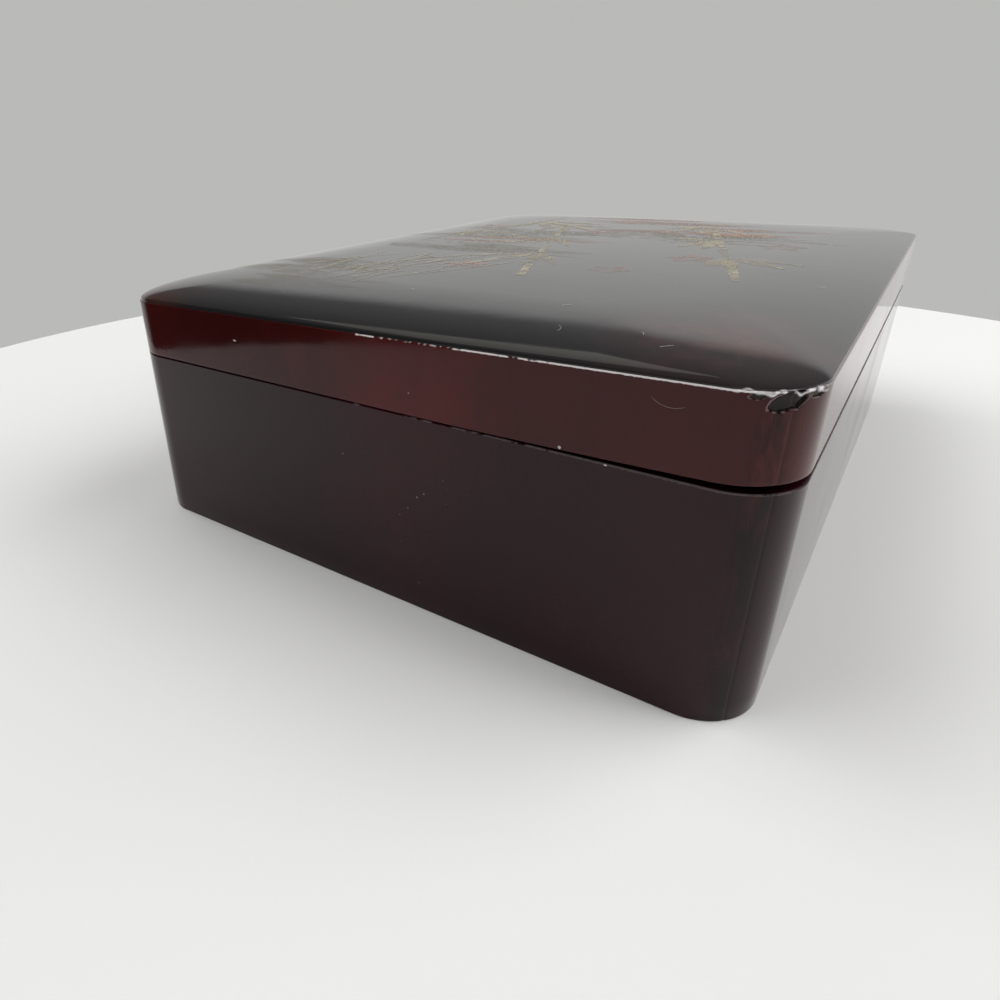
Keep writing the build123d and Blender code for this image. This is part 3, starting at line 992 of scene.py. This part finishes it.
class GAMECASE_OT_timber(bpy.types.Operator):
    """Finishes of the pieces whose solid is shown as it is"""

    bl_idname = "game_case.timber"
    bl_label = "Timber and linings"

    def execute(self, context):
        colours = context.scene.case_colours
        red = side_lacquer("drawer_side_lacquer", colours.dark_lacquer, 0.7, SEAM_HEIGHT, 0.2)
        black = inner_lacquer("board_lacquer", colours.black_lacquer)
        wood = {axis: bare_wood(f"bare_wood_{axis.lower()}", colours.bare_wood, axis) for axis in "XY"}
        lining = felt("green_felt", colours.felt)
        finishes = {
            "drawer_side_centre_stile": red,
            "drawer_side_bottom_rail": red,
            "drawer_side_middle_rail": red,
            "drawer_side_top_rail": red,
            "compartment_floor": black,
            "base_board": wood["Y"],
            "centre_partition": wood["X"],
            "near_dust_board": wood["X"],
            "far_dust_board": wood["X"],
            "drawer_stops": wood["X"],
            "counter_long_divider": black,
            "counter_cross_divider_1": black,
            "counter_cross_divider_2": black,
        }
        for side in ("front", "back", "right", "left"):
            finishes[f"{side}_lip"] = black
        for level in ("lower", "upper"):
            for end in ("near", "far"):
                finishes[f"{level}_{end}_guide"] = wood["X"]
        for drawer in DRAWERS:
            finishes[f"{drawer}_front"] = red
            finishes[f"{drawer}_left_side"] = wood["X"]
            finishes[f"{drawer}_right_side"] = wood["X"]
            finishes[f"{drawer}_back"] = wood["Y"]
            finishes[f"{drawer}_bottom"] = wood["Y"]
            finishes[f"{drawer}_lining"] = lining
        for node, material in finishes.items():
            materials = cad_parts[node].data.materials
            materials.clear()
            materials.append(material)
        return {"FINISHED"}


# Layout of the painting in plan, in millimetres: a culm's ends and width, a band's middle, length and
# width, a blossom's middle and size, and a nick's foot
CULMS = [
    ((100, -70), (40, 120), 6.5),
    ((16, -100), (-52, 96), 5.5),
    ((-96, -20), (-70, 140), 5.0),
]
JOINT_PITCH = 34
HAZE_BANDS = [
    (-70, -150, 70, 22),
    (-84, -120, 90, 30),
    (-40, -30, 120, 26),
    (-60, 30, 110, 40),
    (40, 60, 130, 34),
]
MIST_BANDS = [
    (-64, -6, 70, 10),
    (-38, 12, 90, 15),
    (40, 80, 110, 24),
    (62, 106, 86, 20),
    (4, 124, 110, 24),
    (-20, 146, 100, 16),
]
BLOSSOMS = [(-92, 62, 14), (-12, 66, 13), (66, -18, 13), (44, -66, 11), (-22, -84, 12), (96, 40, 14)]
NICKS = [
    (104, -176), (96, -168), (70, -174), (118, -118), (58, -146), (-6, -150), (30, -128), (-58, -172),
    (128, -60), (112, 96), (-104, 110), (-128, -88), (10, 160),
]
GRASS_BLADES = 24

# How much each mark lies over the one before it, in millimetres
MARK_STEP = 0.0006


class Brush:
    """Lays marks on the crown as one layer of paint, each a little over the last. Its places, widths and
    levels over the crown are millimetres."""

    def __init__(self, sizes, level):
        self.bm = bmesh.new()
        self.cover = self.bm.verts.layers.float.new("cover")
        self.sizes = sizes
        self.level = level

    def strip(self, centres, widths):
        """A mark along centre points, with a width at each."""
        self.level += MARK_STEP

        def surface(column, row):
            before = centres[max(column - 1, 0)]
            after = centres[min(column + 1, len(centres) - 1)]
            way = (after - before).normalized()
            point = (centres[column] + Vector((-way.y, way.x)) * widths[column] * (row / 4 - 0.5)) * MM
            return Vector((*point, crown_height(*point, self.sizes) + self.level * MM))

        for vert, column, row in mapped_grid(self.bm, len(centres) - 1, 4, surface):
            at_end = column in (0, len(centres) - 1)
            vert[self.cover] = 0.0 if at_end else 1 - (row / 2 - 1) ** 2

    def leaf(self, start, tip, width):
        """A pointed leaf or petal, widest before its middle."""
        steps = 14
        centres = [start.lerp(tip, i / steps) for i in range(steps + 1)]
        self.strip(centres, [width * sin(pi * (i / steps) ** 0.8) + 0.05 for i in range(steps + 1)])

    def spray(self, joint, rng):
        """Pointed leaves that hang from one joint of a culm."""
        heading = rng.uniform(-2.6, -0.5)
        for leaf in range(4):
            angle = heading + (leaf - 1.5) * 0.5 + rng.uniform(-0.1, 0.1)
            way = Vector((cos(angle), sin(angle)))
            self.leaf(joint + way * 4, joint + way * rng.uniform(32, 48), rng.uniform(7.0, 10.0))

    def stroke(self, corners, width):
        """A long stem through a few points, a little uneven in width."""
        centres = []
        for i in range(len(corners) - 1):
            centres += [corners[i].lerp(corners[i + 1], step / 12) for step in range(12)]
        centres.append(corners[-1])
        for _ in range(14):
            centres[1:-1] = [(a + b * 2 + c) / 4 for a, b, c in zip(centres, centres[1:], centres[2:])]
        uneven = [0.8 + 0.3 * noise.noise(Vector((i * 0.4, width, 0))) for i in range(len(centres))]
        self.strip(centres, [width * share for share in uneven])

    def dry(self, name, paint):
        """The layer as a piece that rides on the lid, facing up."""
        piece = piece_from(self.bm, name, "lid", [paint])
        if piece.data.polygons[0].normal.z < 0:
            piece.data.flip_normals()


def lay_haze(brush, rng):
    """Dull drifts of thin colour, four over each band."""
    for x, y, length, width in HAZE_BANDS:
        for drift in range(4):
            middle = Vector((x + rng.uniform(-18, 18), y + (drift - 1.5) * width * 0.3))
            half = Vector((length * rng.uniform(0.35, 0.6), rng.uniform(-3, 6)))
            brush.leaf(middle - half, middle + half, width * rng.uniform(0.45, 0.8))


def lay_mist(brush, _rng):
    """Drifts of mist in pairs, and blossoms of five petals."""
    for x, y, length, width in MIST_BANDS:
        middle, half = Vector((x, y)), Vector((length / 2, 2))
        brush.leaf(middle - half, middle + half, width * 1.2)
        brush.leaf(middle - half * 0.3, middle + half * 1.2 + Vector((0, 5)), width * 0.8)
    for x, y, size in BLOSSOMS:
        for petal in range(5):
            angle = 2 * pi * petal / 5 + x
            away = Vector((cos(angle), sin(angle))) * size
            brush.leaf(Vector((x, y)) + away * 0.15, Vector((x, y)) + away, size * 0.8)


def lay_bamboo(brush, rng):
    """Jointed culms, with a spray of leaves at every other joint."""
    for start, end, width in CULMS:
        start, end = Vector(start), Vector(end)
        joints = round((end - start).length / JOINT_PITCH)
        for joint in range(joints):
            foot = start.lerp(end, (joint + 0.04) / joints)
            head = start.lerp(end, (joint + 0.96) / joints)
            brush.stroke([foot, foot.lerp(head, 0.5), head], width)
            if joint % 2:
                brush.spray(head, rng)


def lay_grass(brush, rng):
    """A tuft of thin bowed blades."""
    for _ in range(GRASS_BLADES):
        foot = Vector((rng.uniform(-96, -34), rng.uniform(-150, -112)))
        tip = foot + Vector((rng.uniform(-10, 34), rng.uniform(30, 74)))
        bow = foot.lerp(tip, 0.55) + Vector((rng.uniform(-6, 6), 0))
        brush.stroke([foot, bow, tip], rng.uniform(1.0, 2.0))


def lay_nicks(brush, rng):
    """Short pale nicks in the lacquer."""
    for x, y in NICKS:
        foot = Vector((x, y))
        tip = foot + Vector((rng.uniform(-4, 4), rng.uniform(2, 6)))
        bow = foot.lerp(tip, 0.5) + Vector((rng.uniform(-2, 2), rng.uniform(-1, 1)))
        brush.stroke([foot, bow, tip], rng.uniform(0.35, 0.6))


class GAMECASE_OT_painting(bpy.types.Operator):
    """Faded generic painting on the lid: bamboo sprays, mist bands and small blossoms"""

    bl_idname = "game_case.painting"
    bl_label = "Faded painting"

    def execute(self, context):
        colours = context.scene.case_colours
        gold = faded_paint("faded_gold", colours.old_gold, 0.82, 0.4)
        pink = faded_paint("faded_pink", colours.dusty_pink, 0.72, 1.0)
        dull = faded_paint("faded_haze", [0.6 * c for c in colours.old_gold], 0.5, 1.4)
        pale = faded_paint("pale_nicks", (0.55, 0.53, 0.50), 0.8, 0.4)
        layers = (
            ("haze", 0.02, dull, lay_haze),
            ("pink_mist", 0.04, pink, lay_mist),
            ("gold_bamboo", 0.07, gold, lay_bamboo),
            ("gold_grass", 0.11, gold, lay_grass),
            ("pale_nicks", 0.135, pale, lay_nicks),
        )
        rng = random.Random(5)
        for name, level, paint, lay in layers:
            brush = Brush(context.scene.case_sizes, level)
            lay(brush, rng)
            brush.dry(name, paint)
        return {"FINISHED"}


class GAMECASE_PT_panel(bpy.types.Panel):
    """Lists the steps that dress the case"""

    bl_idname = "GAMECASE_PT_panel"
    bl_label = "Game Case"
    bl_space_type = "VIEW_3D"
    bl_region_type = "UI"
    bl_category = "Game Case"

    def draw(self, context):
        for operator in OPERATORS:
            self.layout.operator(operator.bl_idname)
        for group in (context.scene.case_sizes, context.scene.case_colours):
            for name in group.bl_rna.properties.keys():
                if name not in ("rna_type", "name"):
                    self.layout.prop(group, name)


OPERATORS = (
    GAMECASE_OT_lid_walls,
    GAMECASE_OT_lid_top,
    GAMECASE_OT_painting,
    GAMECASE_OT_case_walls,
    GAMECASE_OT_timber,
    GAMECASE_OT_knobs,
    GAMECASE_OT_stage,
)
CLASSES = (CaseSizes, CaseColours, *OPERATORS, GAMECASE_PT_panel)


def register():
    for each in CLASSES:
        bpy.utils.register_class(each)
    bpy.types.Scene.case_sizes = PointerProperty(type=CaseSizes)
    bpy.types.Scene.case_colours = PointerProperty(type=CaseColours)


def unregister():
    del bpy.types.Scene.case_colours
    del bpy.types.Scene.case_sizes
    for each in reversed(CLASSES):
        bpy.utils.unregister_class(each)


def main():
    register()
    bpy.ops.game_case.lid_walls()
    bpy.ops.game_case.lid_top()
    bpy.ops.game_case.painting()
    bpy.ops.game_case.case_walls()
    bpy.ops.game_case.timber()
    bpy.ops.game_case.knobs()
    bpy.ops.game_case.stage()


if __name__ == "__main__":
    main()
